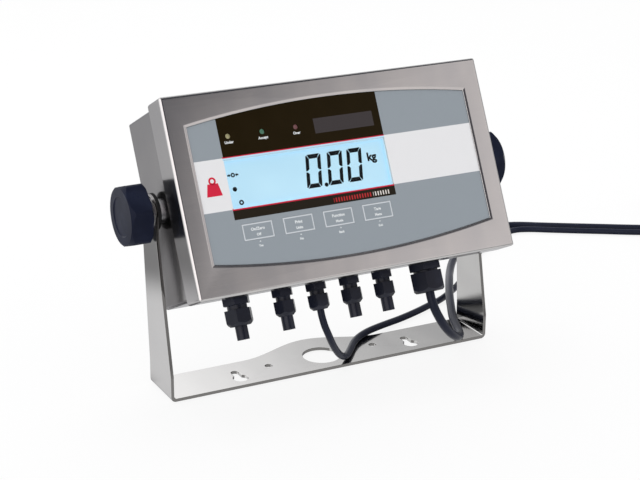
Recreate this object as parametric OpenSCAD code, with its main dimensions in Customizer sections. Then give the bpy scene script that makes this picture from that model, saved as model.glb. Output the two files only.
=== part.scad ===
// Washdown weighing indicator: a stainless case with a tilted display, held between
// the arms of a U bracket by two clamp knobs. Millimetres, +Z up, +Y to the back.
// The origin is on the ground, in the middle of the bracket's base.

/* [Case] */
// Width of the front cover
case_w = 264; // [250:1:280]
// Height of the front cover
case_h = 149; // [146:1:170]
// Depth of the closed case, from face to back panel
case_d = 80; // [72:1:90]
// Depth of the front cover's skirt
skirt_d = 25; // [20:1:30]
// Sheet thickness of the case
sheet_t = 1.5; // [1:0.1:2]
// Outer radius of the case's bends
case_bend_r = 2.5; // [2.2:0.1:4]
// Play between the skirt and the back case, all round
skirt_play = 1.5; // [1:0.1:2]
// Distance from the face back to the tilt axis
axis_back = 51.5; // [48:0.5:54]
// Lean of the face from upright, in degrees
tilt_back = 27; // [15:1:35]

/* [Face] */
// Border of the face, left and right of the recessed panel
face_side = 16.5; // [13:0.5:18]
// Border of the face above and below the recessed panel, in the middle
face_edge = 15; // [13:0.5:16]
// Drop of the panel's arched edges from the middle to the corners
panel_arch = 9.3; // [6:0.1:12]
// Depth of the recess
recess_d = 2; // [1.8:0.1:2.5]
// Thickness of the overlay label
overlay_t = 0.7; // [0.6:0.05:0.8]
// Thickness of the keypad layer under it
keypad_t = 0.7; // [0.6:0.05:0.8]
// Width of the display window
window_w = 132; // [120:1:140]
// Height of the display window
window_h = 36; // [30:1:38]
// Distance from the panel's left edge to the windows
window_inset = 23.3; // [20:0.1:30]
// Middle of the display window above the tilt axis
window_up = 5; // [3:1:7]
// Strip of panel between the two windows
window_strip = 2.2; // [1.5:0.1:3]
// Width of a key
key_w = 24; // [20:1:28]
// Height of a key
key_h = 12; // [10:0.5:14]
// Spacing of the keys
key_pitch = 32.8; // [30:0.2:36]
// Middle of the row of keys below the tilt axis
keys_down = 31; // [29:0.5:33]
// Thickness of a key pad
key_t = 0.5; // [0.4:0.05:0.6]
// Travel of a key
key_travel = 0.4; // [0.3:0.05:0.45]
// Diameter of a status lamp
lamp_dia = 4.6; // [3:0.1:5]
// Spacing of the status lamps
lamp_pitch = 27.3; // [24:0.1:30]
// Height of the status lamps above the tilt axis
lamps_up = 40; // [34:0.5:44]

/* [Bracket] */
// Gap between the front cover's side and an arm
arm_gap = 3; // [3:0.5:8]
// Sheet thickness of the bracket
bracket_t = 2.5; // [2:0.1:3]
// Depth of the base plate at the arms
base_d = 41; // [36:1:50]
// How far the base's middle swells to the back
swell_d = 16.5; // [10:0.5:24]
// Width of the swell
swell_w = 120; // [110:1:130]
// Outer radius of the bracket's bends
bracket_bend_r = 4; // [3.2:0.1:5]
// Height of the case's lower edge above the ground, with the case upright
ground_gap = 64; // [60:0.5:80]
// Distance of the tilt axis behind the base's middle
pivot_back = 15; // [8:0.5:18]
// Radius of an arm's rounded head
head_r = 14; // [12:0.5:16]
// Height where an arm starts to taper
taper_low = 20; // [12:1:30]
// Distance from the end of an arm's taper up to the tilt axis
taper_gap = 18.5; // [15:0.5:30]
// Diameter of the cable hole in the base
cable_hole_dia = 30; // [20:1:32]
// Diameter of the two screw holes
screw_hole_dia = 6; // [4.5:0.5:7]
// Distance between the two screw holes
screw_hole_gap = 92; // [80:1:100]
// Distance between the two keyholes
keyhole_gap = 150; // [134:1:170]
// Diameter of a keyhole's round end
keyhole_dia = 12; // [9:0.5:13]
// Width of a keyhole's slot
keyhole_slot_w = 6; // [4:0.5:7]
// Distance between the two ends of a keyhole
keyhole_run = 11; // [9:0.5:12]
// Line of the holes behind the base's middle
hole_line = 3; // [2:0.5:4]

/* [Knobs] */
// Diameter across the lobes of a knob
knob_dia = 49; // [36:1:50]
// Thickness of a knob's grip
knob_grip_t = 17; // [12:0.5:20]
// Diameter of a knob's collar
collar_dia = 22; // [18:1:26]
// Thickness of a knob's collar
collar_t = 2.9; // [2:0.1:5]
// Thread diameter of a knob's stud
stud_dia = 8; // [6:1:8]
// Diameter of the flat washer under a knob
washer_dia = 24; // [18:1:26]
// Thickness of the flat washer
washer_t = 1.6; // [1.2:0.1:2]
// Diameter of the black friction washer
friction_dia = 28; // [22:1:30]
// Thickness of the friction washer
friction_t = 2.5; // [1.5:0.1:3]
// Diameter of a side boss on the case
boss_dia = 18; // [15:1:20]
// Length of a boss inside the case's wall
boss_in = 7; // [6:0.5:9]

/* [Glands] */
// Spacing of the four small glands, as a share of the case's width
gland_pitch_share = 0.108; // [0.1:0.001:0.11]
// Place of the first small gland, as a share of the case's width from its middle
small_gland_share = -0.1762; // [-0.19:0.001:-0.17]
// Place of the medium gland, as a share of the case's width from its middle
medium_gland_share = -0.3201; // [-0.35:0.001:-0.3]
// Place of the large gland, as a share of the case's width from its middle
large_gland_share = 0.2936; // [0.29:0.001:0.32]
// How far the glands lie in front of the middle of the case's bare underside
gland_forward = 3.5; // [0:0.5:4]
// Diameter of the plugs in the unused glands
plug_rod_dia = 9.4; // [8:0.1:9.6]
// Length of a plug outside its cap nut
plug_out = 10.5; // [6:0.5:14]

/* [Boards] */
// Thickness of the circuit boards
board_t = 1.6; // [1.2:0.1:2]
// Depth of the display module behind the panel
display_d = 9; // [8:0.5:10]
// How far the display board reaches past the window, left and right
display_board_side = 18.5; // [14:0.5:18.5]
// Height of the display board
display_board_h = 84; // [70:1:90]
// Room left of the main board
board_left = 26.5; // [22:0.5:34]
// Room right of the supply board
board_right = 28.5; // [22:0.5:34]
// Room under the boards, for the glands' lock nuts and the leads
board_below = 30; // [26:1:34]
// Room above the boards
board_above = 10; // [10:1:16]
// Width of the supply board
supply_board_w = 62; // [58:1:66]
// Length of the posts between back panel and boards
board_post = 8; // [6:0.5:10]

/* [Cords] */
// Diameter of the sensor cable
sensor_dia = 5.5; // [5.3:0.1:5.6]
// Turns in the sensor cable's coil
sensor_turns = 7.25; // [5.25:1:7.25]
// Radius of the sensor coil's outer turn
sensor_coil_r = 43; // [43:0.5:46]
// Diameter of the power cord
power_dia = 7; // [6.8:0.1:7.2]
// Turns in the power cord's coil
power_turns = 5; // [3:1:5]
// Radius of the power coil's outer turn
power_coil_r = 47; // [47:0.5:50]

/* [Hidden] */
$fn = 48;
// Facets of the wide arcs along the panel's top and bottom
arch_fn = 360;
// Extra length of every cut, so that it clears the face it starts from
over = 1;
// Play round parts that are laid into an opening
lay_play = 0.15;
// Radial play of a running fit and of a loose hole round a stud
run_play = 0.05;
loose_play = 0.2;
// Width of the ledge that a window sits on
window_ledge = 1;
// The recessed panel follows from the face and its border, the bracket from the case
panel_w = case_w - 2 * face_side;
panel_h = case_h - 2 * face_edge;
window_x = window_inset + (window_w - panel_w) / 2;
bracket_w = case_w + 2 * (arm_gap + bracket_t);
pivot_h = case_h / 2 + ground_gap;
taper_high = pivot_h - taper_gap;
// Place of the face, panel and back panel, measured back from the tilt axis
face_y = -axis_back;
floor_y = face_y + recess_d;
inner_y = floor_y + sheet_t;
back_y = case_d - axis_back;
panel_back_y = back_y - sheet_t;
skin_y = floor_y - keypad_t - overlay_t;
// Radius of the panel's arched edges
arch_r = (pow(panel_w / 2, 2) + pow(panel_arch, 2)) / (2 * panel_arch);
// The back case fits inside the skirt
tray_w = case_w - 2 * (sheet_t + skirt_play);
tray_h = case_h - 2 * (sheet_t + skirt_play);
tray_bottom = -tray_h / 2;
gasket_t = 3;
gasket_w = 5.5;
gasket_play = 0.1;
tray_y = face_y + sheet_t + gasket_t;
// The dark status window runs from the display window's strip to the panel's edge
status_low = window_up + window_h / 2 + window_strip;
lamp_inset = 7;
lamp_first = window_x - window_w / 2 + lamp_inset;
key_shift = 1.2;
dome_share = 0.55;
dome_play = 0.05;
dome_t = keypad_t + overlay_t - key_t - key_travel - dome_play;
// Display module
bezel_rim = 6;
bezel_wall = 2;
glass_t = 2.8;
glass_set = 0.6;
board_low = 30;
display_board_w = window_w + 2 * display_board_side;
display_post_af = 6;
display_post_in = 5;
display_board_y = inner_y + display_d;
screw_r = 1.5;
screw_head_r = 2.8;
screw_head_t = 2;
screw_bite = 5;
screw_tip = 1;
thread_play = 0.05;
// Main board and supply board stand on posts on the back panel
post_af = 6;
boards_y = panel_back_y - board_post - board_t;
supply_gap = 6;
room_w = tray_w - 2 * sheet_t;
room_h = tray_h - 2 * sheet_t;
main_board_w = room_w - board_left - board_right - supply_gap - supply_board_w;
main_board_h = room_h - board_below - board_above;
main_board_x = board_left + (main_board_w - room_w) / 2;
main_board_z = (board_below - board_above) / 2;
post_inset = 6;
supply_board_x = main_board_x + (main_board_w + supply_board_w) / 2 + supply_gap;
chip_t = 2.4;
// Chips as shares of the main board's width and height, and sizes
chip_shares = [[-0.25, 0.1], [0.26, 0.36], [-0.3, 0.36], [0.3, -0.02]];
chip_sizes = [[20, 20], [14, 9], [10, 7], [9, 9]];
block_count = 5;
block_gap = 4;
block_side = 5;
block_pitch = (main_board_w - 2 * block_side) / block_count;
block_w = block_pitch - block_gap;
block_h = 9;
block_d = 9;
block_wire_r = 1.4;
block_wire_gap = block_w / 4;
block_up = 7;
transformer_w = 36;
transformer_h = 32;
transformer_d = 24;
transformer_up = 24;
transformer_core = 6;
capacitor_r = 8;
capacitor_len = 22;
capacitor_gap = 22;
capacitor_down = 30;
ribbon_w = 30;
ribbon_t = 1.2;
ribbon_share = 0.04;
ribbon_x = main_board_x + ribbon_share * main_board_w;
ribbon_low = -18;
ribbon_high = 30;
header_h = 6;
header_d = 5;
ribbon_reach = 14;
ribbon_fold_y = display_board_y + board_t + ribbon_reach;
earth_side = 31;
earth_x = case_w / 2 - earth_side;
earth_z = -54;
earth_r = 2;
earth_len = 12;
earth_nut_af = 7;
earth_nut_t = 3.2;
calibration_side = 47;
calibration_x = case_w / 2 - calibration_side;
calibration_z = -54;
calibration_r = 3;
calibration_head_r = 5.5;
calibration_head_t = 2.4;
// Posts and screws that pull the two halves of the case together
cover_post_af = 8;
cover_post_side = 15;
cover_post_end = 12.5;
cover_screw_r = 2;
cover_screw_af = 7;
cover_head_t = 2.8;
cover_bite = 12;
cover_seal_t = 1;
cover_seal_r = 4.6;
cover_hole_play = 0.2;
// Sides: wall, boss, friction washer, arm, flat washer, collar and grip of the knob
wall_x = tray_w / 2;
arm_out_x = bracket_w / 2;
arm_in_x = arm_out_x - bracket_t;
friction_x = arm_in_x - friction_t;
washer_x = arm_out_x;
collar_x = washer_x + washer_t;
grip_x = collar_x + collar_t;
knob_out_x = grip_x + knob_grip_t;
boss_in_x = wall_x - sheet_t - boss_in;
boss_floor = 1.5;
stud_gap = 1;
stud_in_x = boss_in_x + boss_floor + stud_gap;
stud_seat = 9;
knob_chamfer = 3;
knob_flat_share = 1.03;
knob_turn = 40;
knob_dish = 0.6;
knob_dish_share = 0.62;
// Base plate
swell_steps = 24;
// Gland sizes: thread radius, across flats, cap length, gap of thread shown under the body
small_gland = [6, 15, 11.6, 3.4];
medium_gland = [8, 19, 12.4, 3.4];
large_gland = [10, 24, 15.7, 1.6];
// Each gland: its place across the case, its size, and the cord in it or 0
glands = [
    [case_w * medium_gland_share, medium_gland, 0],
    [case_w * small_gland_share, small_gland, 0],
    [case_w * (small_gland_share + gland_pitch_share), small_gland, sensor_dia],
    [case_w * (small_gland_share + 2 * gland_pitch_share), small_gland, 0],
    [case_w * (small_gland_share + 3 * gland_pitch_share), small_gland, 0],
    [case_w * large_gland_share, large_gland, power_dia]
];
sensor_gland = 2;
power_gland = 5;
gland_y = (face_y + skirt_d + back_y) / 2 - gland_forward;
gland_seal_t = 1;
gland_hex_t = 5.9;
gland_neck_thin = 0.4;
gland_wall = 1.5;
gland_nut_t = 4;
gland_nut_play = 0.1;
gland_tail = sheet_t + gland_nut_t + 2;
gland_hole_play = 0.1;
cap_play = 0.1;
cap_roof = 4;
cap_chamfer = 3.2;
mouth_wide = 1.7;
seal_len = 8;
seal_set = 0.6;
cord_play = 0.3;
plug_shank_r = 3;
plug_seat = 3;
lead_r = 2;
lead_rise = 12;
lead_gap = 0.3;
// Cord routes, chosen by hand on the ground and the base plate for this width of case.
// They spread sideways with the case.
drawn_case_w = 264;
spread = case_w / drawn_case_w;
sensor_route = [
    [-17, -34.8, 45], [-14, -35, 37.5], [-9.8, -32.4, 29.5], [-4, -27.8, 20.5], [3.2, -22.2, 12],
    [10.4, -16.4, 7], [17, -9.8, 5.6], [24, -1.5, 5.5], [31.2, 7.2, 5.5], [39.5, 14.8, 5.5],
    [50, 21, 5.6], [61.6, 26.6, 5], [74.5, 32.2, 4], [92, 39, 2.9], [110, 45.5, 2.9],
    [127, 52.8, 2.9], [146.5, 62, 2.9], [172, 80.4, 2.9], [193, 101, 2.9], [212, 122, 2.9],
    [234, 143, 2.9], [257, 161, 2.9], [278, 173.5, 2.9], [296, 179.5, 2.9], [311, 175.5, 2.9],
    [329, 164.5, 2.9], [350, 151.8, 2.9], [371, 139.4, 2.9], [395, 125, 2.9], [418, 111.8, 3.3],
    [438, 100.5, 3.8]
];
power_route = [
    [78.8, -36.4, 42.5], [82.4, -37.8, 34.5], [88, -36.9, 26], [95.2, -34.4, 18], [102.8, -30.2, 11.8],
    [109.6, -24.4, 8], [114.8, -17.4, 6.6], [118.6, -9.2, 6.4], [122.8, 2, 6.7], [128, 15, 7.4],
    [135.6, 30, 8.8], [144.6, 47, 10], [156, 66.5, 10.2], [167, 84.5, 8.6], [181, 106.5, 5],
    [197, 129, 3.6], [216, 151, 3.6], [238, 171, 3.6], [262, 186, 3.6], [284, 193, 3.6],
    [304, 189, 3.6], [325, 176.6, 3.6], [347, 163.4, 3.6], [370, 150, 3.6], [395, 135.2, 3.6],
    [420, 120.6, 3.8], [442, 107.8, 4.2]
];
route_steps = 2;
tube_sides = 10;
exit_run = 5;
// Coils lie at the end of their cord's straight run, in two layers, on the ground
coil_heading = -30;
sensor_coil_at = [430.5 * spread, 55.2];
power_coil_at = [493.5 * spread, 140.7];
coil_sides = 6;
coil_rings = 24;
turn_gap = 0.5;
climb_turns = 0.5;
tie_t = 0.8;
tie_w = 9;
tie_play = 0.6;
coil_base = tie_t + 0.3;
// Far ends: a round sensor connector and a moulded mains plug
connector_r = 9.4;
connector_len = 34;
connector_relief = 26;
connector_relief_r = 5.8;
connector_socket_r = 7;
connector_socket_d = 9;
connector_ring_t = 9;
connector_ring_cut = 0.7;
relief_grow = 0.4;
plug_relief = 36;
plug_relief_r = 5.9;
plug_len = 36;
plug_w = 28;
plug_rest = 0.1;
plug_h = 2 * (coil_base + power_dia * 3 / 2 + turn_gap - plug_rest);
plug_corner = 5;
blade_w = 6.3;
blade_t = 1.5;
blade_len = 16;
blade_gap = 12.7;
blade_up = 3.5;
ground_pin_r = 2.4;
ground_pin_len = 19;
ground_pin_down = 6.5;

// Places children drawn in the case's own frame, whose origin is on the tilt axis
module in_case() {
    translate([0, pivot_back, pivot_h])
        rotate([-tilt_back, 0, 0])
            children();
}

// Point of the ground frame for a point of the case frame
function from_case(p) = [
    p[0],
    pivot_back + p[1] * cos(tilt_back) + p[2] * sin(tilt_back),
    pivot_h - p[1] * sin(tilt_back) + p[2] * cos(tilt_back)
];

// Outlines drawn in X and Z, pushed back from y by a length
module along_y(y, length) {
    translate([0, y + length, 0])
        rotate([90, 0, 0])
            linear_extrude(length)
                children();
}

// Outlines drawn in Y and Z, pushed right from x by a length
module along_x(x, length) {
    translate([x, 0, 0])
        rotate([90, 0, 90])
            linear_extrude(length)
                children();
}

// Outlines drawn in X and Y, pushed up from z by a length
module along_z(z, length) {
    translate([0, 0, z])
        linear_extrude(length)
            children();
}

module round_rect(w, h, r) {
    square([w - 2 * r, h], center = true);
    square([w, h - 2 * r], center = true);
    for (x = [-1, 1], y = [-1, 1])
        translate([x * (w / 2 - r), y * (h / 2 - r)])
            circle(r);
}

module ring(outer, inner) {
    difference() {
        circle(outer);
        circle(inner);
    }
}

// Regular hexagon measured across its flats
module hexagon(af) {
    circle(r = af / sqrt(3), $fn = 6);
}

// Box with rounded edges all round one end, the front end or the back end
module bent_box(w, h, y, d, r, front) {
    long = d + 2 * r;
    mid = front ? y + long / 2 : y + d - long / 2;
    intersection() {
        along_y(y, d)
            round_rect(w, h, r);
        along_x(-w / 2, w)
            translate([mid, 0])
                round_rect(long, h, r);
        along_z(-h / 2, h)
            translate([0, mid])
                round_rect(w, long, r);
    }
}

// Outline of the recessed panel, grown on all sides
module panel_outline(grow) {
    drop = arch_r - panel_h / 2;
    intersection() {
        square([panel_w + 2 * grow, panel_h + 2 * grow], center = true);
        translate([0, -drop])
            circle(arch_r + grow, $fn = arch_fn);
        translate([0, drop])
            circle(arch_r + grow, $fn = arch_fn);
    }
}

module display_opening(shrink) {
    translate([window_x, window_up])
        square([window_w - 2 * shrink, window_h - 2 * shrink], center = true);
}

module status_opening(shrink) {
    intersection() {
        panel_outline(-lay_play - shrink);
        translate([window_x - window_w / 2 + shrink, status_low + shrink])
            square([window_w - 2 * shrink, panel_h]);
    }
}

function key_x(i) = window_x + (i - 3 / 2) * key_pitch - key_shift;

module key_outline(i, shrink) {
    translate([key_x(i), -keys_down])
        square([key_w - 2 * shrink, key_h - 2 * shrink], center = true);
}

module all_keys(shrink) {
    for (i = [0:3])
        key_outline(i, shrink);
}

module at_lamps() {
    for (i = [0:2])
        translate([lamp_first + i * lamp_pitch, lamps_up])
            children();
}

module at_cover_posts() {
    for (x = [-1, 1], z = [-1, 1])
        translate([x * (case_w / 2 - cover_post_side), z * (case_h / 2 - cover_post_end)])
            children();
}

module at_display_posts() {
    for (x = [-1, 1], z = [0, 1])
        translate([
            window_x + x * (display_board_w / 2 - display_post_in),
            -board_low + display_post_in + z * (display_board_h - 2 * display_post_in)
        ])
            children();
}

// Corners of the main board and the supply board
module at_board_posts() {
    for (side = [-1, 1], z = [-1, 1]) {
        translate([
            main_board_x + side * (main_board_w / 2 - post_inset),
            main_board_z + z * (main_board_h / 2 - post_inset)
        ])
            children();
        translate([
            supply_board_x + side * (supply_board_w / 2 - post_inset),
            main_board_z + z * (main_board_h / 2 - post_inset)
        ])
            children();
    }
}

// Places children at a gland, with +Z along its axis out of the case
module at_gland(g) {
    translate([g[0], gland_y, tray_bottom])
        rotate([180, 0, 0])
            children();
}

// Point on a gland's axis in the ground frame, a distance out of the case
function gland_point(g, out) = from_case([g[0], gland_y, tray_bottom - out]);

function thread_r(g) = g[1][0];
function flats(g) = g[1][1];
function body_end() = gland_seal_t + gland_hex_t;
function cap_start(g) = body_end() + g[1][3];
function cap_end(g) = cap_start(g) + g[1][2];
function neck_r(g) = thread_r(g) - gland_neck_thin;
function neck_end(g) = cap_end(g) - cap_roof - seal_set;
function seal_start(g) = neck_end(g) - seal_len;
function mouth_r(g) = max(plug_rod_dia / 2, g[2] / 2 + mouth_wide) + loose_play;
function seal_hole_r(g) = g[2] > 0 ? g[2] / 2 + cord_play : plug_shank_r + run_play;

// Bracket

module base_outline() {
    half = base_d / 2;
    flat = bracket_w / 2 - bracket_bend_r;
    swell = [
        for (i = [0:swell_steps])
            let (x = swell_w * (1 / 2 - i / swell_steps))
                [x, half + swell_d * (1 + cos(360 * x / swell_w)) / 2]
    ];
    polygon(concat([[-flat, half], [-flat, -half], [flat, -half], [flat, half]], swell));
}

module keyhole() {
    front = hole_line - keyhole_run;
    translate([0, front])
        circle(keyhole_dia / 2);
    translate([0, hole_line])
        circle(keyhole_slot_w / 2);
    translate([-keyhole_slot_w / 2, front])
        square([keyhole_slot_w, keyhole_run]);
}

module base_holes() {
    translate([0, hole_line])
        circle(cable_hole_dia / 2);
    for (x = [-1, 1]) {
        translate([x * screw_hole_gap / 2, hole_line])
            circle(screw_hole_dia / 2);
        translate([x * keyhole_gap / 2, 0])
            keyhole();
    }
}

module arm_outline() {
    half = base_d / 2;
    translate([pivot_back, pivot_h])
        circle(head_r);
    polygon([
        [-half, bracket_bend_r], [-half, taper_low], [pivot_back - head_r, taper_high],
        [pivot_back - head_r, pivot_h], [pivot_back + head_r, pivot_h], [half, taper_low],
        [half, bracket_bend_r]
    ]);
}

// Bend of the bracket seen along Y, at its left corner
module bend_outline() {
    intersection() {
        translate([bracket_bend_r - bracket_w / 2, bracket_bend_r])
            ring(bracket_bend_r, bracket_bend_r - bracket_t);
        translate([-bracket_w / 2, 0])
            square(bracket_bend_r);
    }
}

module bracket() {
    color("silver")
        difference() {
            union() {
                along_z(0, bracket_t)
                    base_outline();
                for (side = [0, 1])
                    mirror([side, 0, 0]) {
                        along_x(-bracket_w / 2, bracket_t)
                            arm_outline();
                        along_y(-base_d / 2, base_d)
                            bend_outline();
                    }
            }
            along_z(-over, bracket_t + 2 * over)
                base_holes();
            along_x(-bracket_w / 2 - over, bracket_w + 2 * over)
                translate([pivot_back, pivot_h])
                    circle(stud_dia / 2 + loose_play);
        }
}

// Case

module front_cover() {
    color("silver")
        in_case()
            difference() {
                union() {
                    difference() {
                        bent_box(case_w, case_h, face_y, skirt_d, case_bend_r, true);
                        bent_box(
                            case_w - 2 * sheet_t, case_h - 2 * sheet_t, face_y + sheet_t,
                            skirt_d, case_bend_r - sheet_t, true
                        );
                    }
                    along_y(face_y + sheet_t, recess_d)
                        panel_outline(sheet_t);
                }
                along_y(face_y - over, recess_d + over)
                    panel_outline(0);
                along_y(floor_y - over, sheet_t + 2 * over) {
                    display_opening(window_ledge);
                    at_lamps()
                        circle(lamp_dia / 2 + loose_play);
                }
            }
}

module back_case() {
    color("darkgray")
        in_case()
            difference() {
                bent_box(tray_w, tray_h, tray_y, back_y - tray_y, case_bend_r, false);
                bent_box(
                    tray_w - 2 * sheet_t, tray_h - 2 * sheet_t, tray_y - sheet_t - over,
                    back_y - tray_y + over, case_bend_r - sheet_t, false
                );
                for (g = glands)
                    at_gland(g)
                        translate([0, 0, -sheet_t - over])
                            cylinder(sheet_t + 2 * over, r = thread_r(g) + gland_hole_play);
                along_x(-wall_x - over, 2 * (wall_x + over))
                    circle(boss_dia / 2 + run_play);
                along_y(panel_back_y - over, sheet_t + 2 * over) {
                    at_cover_posts()
                        circle(cover_screw_r + cover_hole_play);
                    translate([calibration_x, calibration_z])
                        circle(calibration_r + run_play);
                }
            }
}

module cover_gasket() {
    skirt_w = case_w - 2 * sheet_t;
    skirt_h = case_h - 2 * sheet_t;
    inset = case_bend_r - sheet_t + gasket_play;
    color("dimgray")
        in_case()
            along_y(face_y + sheet_t, gasket_t)
                difference() {
                    round_rect(skirt_w - 2 * inset, skirt_h - 2 * inset, case_bend_r);
                    square([skirt_w - 2 * gasket_w, skirt_h - 2 * gasket_w], center = true);
                }
}

module cover_posts() {
    reach = panel_back_y - face_y - sheet_t;
    color("silver")
        in_case()
            difference() {
                along_y(face_y + sheet_t, reach)
                    at_cover_posts()
                        hexagon(cover_post_af);
                along_y(panel_back_y - cover_bite - over, cover_bite + 2 * over)
                    at_cover_posts()
                        circle(cover_screw_r + thread_play);
            }
}

module cover_screws() {
    color("gainsboro")
        in_case() {
            along_y(panel_back_y - cover_bite, cover_bite + sheet_t + cover_seal_t)
                at_cover_posts()
                    circle(cover_screw_r);
            along_y(back_y + cover_seal_t, cover_head_t)
                at_cover_posts()
                    hexagon(cover_screw_af);
        }
}

module seal_washers() {
    color("black")
        in_case()
            along_y(back_y, cover_seal_t)
                at_cover_posts()
                    ring(cover_seal_r, cover_screw_r + cover_hole_play);
}

module calibration_screw() {
    color("gainsboro")
        in_case()
            translate([calibration_x, 0, calibration_z]) {
                along_y(panel_back_y - sheet_t, 2 * sheet_t)
                    circle(calibration_r);
                along_y(back_y, calibration_head_t)
                    circle(calibration_head_r);
            }
}

// Face

module overlay() {
    color("slategray")
        in_case()
            along_y(skin_y, overlay_t)
                difference() {
                    panel_outline(-lay_play);
                    display_opening(-lay_play);
                    status_opening(-lay_play);
                    all_keys(-lay_play);
                }
}

module keypad_layer() {
    color("dimgray")
        in_case()
            along_y(skin_y + overlay_t, keypad_t)
                difference() {
                    panel_outline(-lay_play);
                    display_opening(-lay_play);
                    status_opening(-lay_play);
                    all_keys(-lay_play);
                }
}

module display_window() {
    color("lightblue")
        in_case()
            along_y(skin_y, overlay_t + keypad_t)
                display_opening(0);
}

module status_window() {
    color("black")
        in_case()
            along_y(skin_y, overlay_t + keypad_t)
                status_opening(0);
}

module key_domes() {
    color("silver")
        in_case()
            for (i = [0:3])
                translate([key_x(i), floor_y, -keys_down])
                    rotate([90, 0, 0])
                        cylinder(dome_t, r1 = key_h / 2 - 1, r2 = key_h * dome_share / 2);
}

module key_pad(i) {
    color("slategray")
        in_case()
            along_y(skin_y, key_t)
                key_outline(i, 0);
}

module key_1() {
    key_pad(0);
}

module key_2() {
    key_pad(1);
}

module key_3() {
    key_pad(2);
}

module key_4() {
    key_pad(3);
}

// Display module and boards

module lcd_bezel() {
    color("gray")
        in_case()
            along_y(inner_y, display_d)
                difference() {
                    display_opening(-bezel_rim);
                    display_opening(bezel_wall - bezel_rim);
                }
}

module lcd_glass() {
    color("lightgray")
        in_case()
            along_y(inner_y + glass_set, glass_t)
                display_opening(bezel_wall - bezel_rim + lay_play);
}

module backlight() {
    color("white")
        in_case()
            along_y(inner_y + glass_set + glass_t, display_d - glass_set - glass_t)
                display_opening(bezel_wall - bezel_rim + lay_play);
}

module status_lamps() {
    color("seagreen")
        in_case()
            along_y(floor_y, display_d + sheet_t)
                at_lamps()
                    circle(lamp_dia / 2);
}

module display_board() {
    color("darkgreen")
        in_case()
            difference() {
                union() {
                    along_y(display_board_y, board_t)
                        translate([window_x - display_board_w / 2, -board_low])
                            square([display_board_w, display_board_h]);
                    along_y(display_board_y + board_t, header_d)
                        translate([ribbon_x - ribbon_w / 2, ribbon_low])
                            square([ribbon_w, header_h]);
                }
                along_y(display_board_y - over, board_t + 2 * over)
                    at_display_posts()
                        circle(screw_r + loose_play);
            }
}

module display_posts() {
    color("silver")
        in_case()
            difference() {
                along_y(inner_y, display_d)
                    at_display_posts()
                        hexagon(display_post_af);
                along_y(display_board_y - screw_bite - screw_tip, screw_bite + screw_tip + over)
                    at_display_posts()
                        circle(screw_r + thread_play);
            }
}

module display_screws() {
    color("gainsboro")
        in_case() {
            along_y(display_board_y - screw_bite, screw_bite + board_t)
                at_display_posts()
                    circle(screw_r);
            along_y(display_board_y + board_t, screw_head_t)
                at_display_posts()
                    circle(screw_head_r);
        }
}

module board_blank(x, w) {
    translate([x, main_board_z])
        square([w, main_board_h], center = true);
}

module drilled_board(x, w) {
    difference() {
        along_y(boards_y, board_t)
            board_blank(x, w);
        along_y(boards_y - over, board_t + 2 * over)
            at_board_posts()
                circle(screw_r + loose_play);
    }
}

module main_board() {
    color("darkgreen")
        in_case() {
            drilled_board(main_board_x, main_board_w);
            along_y(boards_y - header_d, header_d)
                translate([ribbon_x - ribbon_w / 2, ribbon_high])
                    square([ribbon_w, header_h]);
        }
}

module supply_board() {
    color("olivedrab")
        in_case()
            drilled_board(supply_board_x, supply_board_w);
}

module board_posts() {
    color("silver")
        in_case()
            difference() {
                along_y(boards_y + board_t, board_post)
                    at_board_posts()
                        hexagon(post_af);
                along_y(boards_y + board_t - over, screw_bite + screw_tip + over)
                    at_board_posts()
                        circle(screw_r + thread_play);
            }
}

module board_screws() {
    color("gainsboro")
        in_case() {
            along_y(boards_y, screw_bite + board_t)
                at_board_posts()
                    circle(screw_r);
            along_y(boards_y - screw_head_t, screw_head_t)
                at_board_posts()
                    circle(screw_head_r);
        }
}

module board_chips() {
    color("darkslategray")
        in_case()
            along_y(boards_y - chip_t, chip_t)
                for (i = [0:len(chip_shares) - 1])
                    translate([
                        main_board_x + chip_shares[i][0] * main_board_w,
                        main_board_z + chip_shares[i][1] * main_board_h
                    ])
                        square(chip_sizes[i], center = true);
}

function block_x(i) = main_board_x + (i - (block_count - 1) / 2) * block_pitch;
function block_z() = main_board_z - main_board_h / 2 + block_up + block_h / 2 + post_inset;

module terminal_blocks() {
    color("mediumseagreen")
        in_case()
            for (i = [0:block_count - 1])
                difference() {
                    along_y(boards_y - block_d, block_d)
                        translate([block_x(i), block_z()])
                            square([block_w, block_h], center = true);
                    for (k = [-1:1])
                        translate([
                            block_x(i) + k * block_wire_gap, boards_y - block_d / 2,
                            block_z() - block_h / 2 - over
                        ])
                            cylinder(block_h / 2 + over, r = block_wire_r);
                }
}

module transformer() {
    color("goldenrod")
        in_case()
            translate([supply_board_x, 0, main_board_z + transformer_up]) {
                along_y(boards_y - transformer_d, transformer_d)
                    square([transformer_w - 2 * transformer_core, transformer_h], center = true);
                along_y(boards_y - transformer_d + transformer_core / 2, transformer_core * 2)
                    square([transformer_w, transformer_h - transformer_core], center = true);
            }
}

module supply_capacitors() {
    color("navy")
        in_case()
            along_y(boards_y - capacitor_len, capacitor_len)
                for (x = [-1, 1])
                    translate([
                        supply_board_x + x * capacitor_gap / 2, main_board_z - capacitor_down
                    ])
                        circle(capacitor_r);
}

// Flat cable from the display board's header to the main board's header
module ribbon_cable() {
    start = display_board_y + board_t + header_d;
    end = boards_y - header_d;
    low = ribbon_low + header_h / 2;
    high = ribbon_high + header_h / 2;
    color("lightgray")
        in_case()
            along_x(ribbon_x - ribbon_w / 2, ribbon_w) {
                translate([start, low])
                    square([ribbon_fold_y + ribbon_t - start, ribbon_t]);
                translate([ribbon_fold_y, low])
                    square([ribbon_t, high - low]);
                translate([ribbon_fold_y, high])
                    square([end - ribbon_fold_y, ribbon_t]);
            }
}

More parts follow.
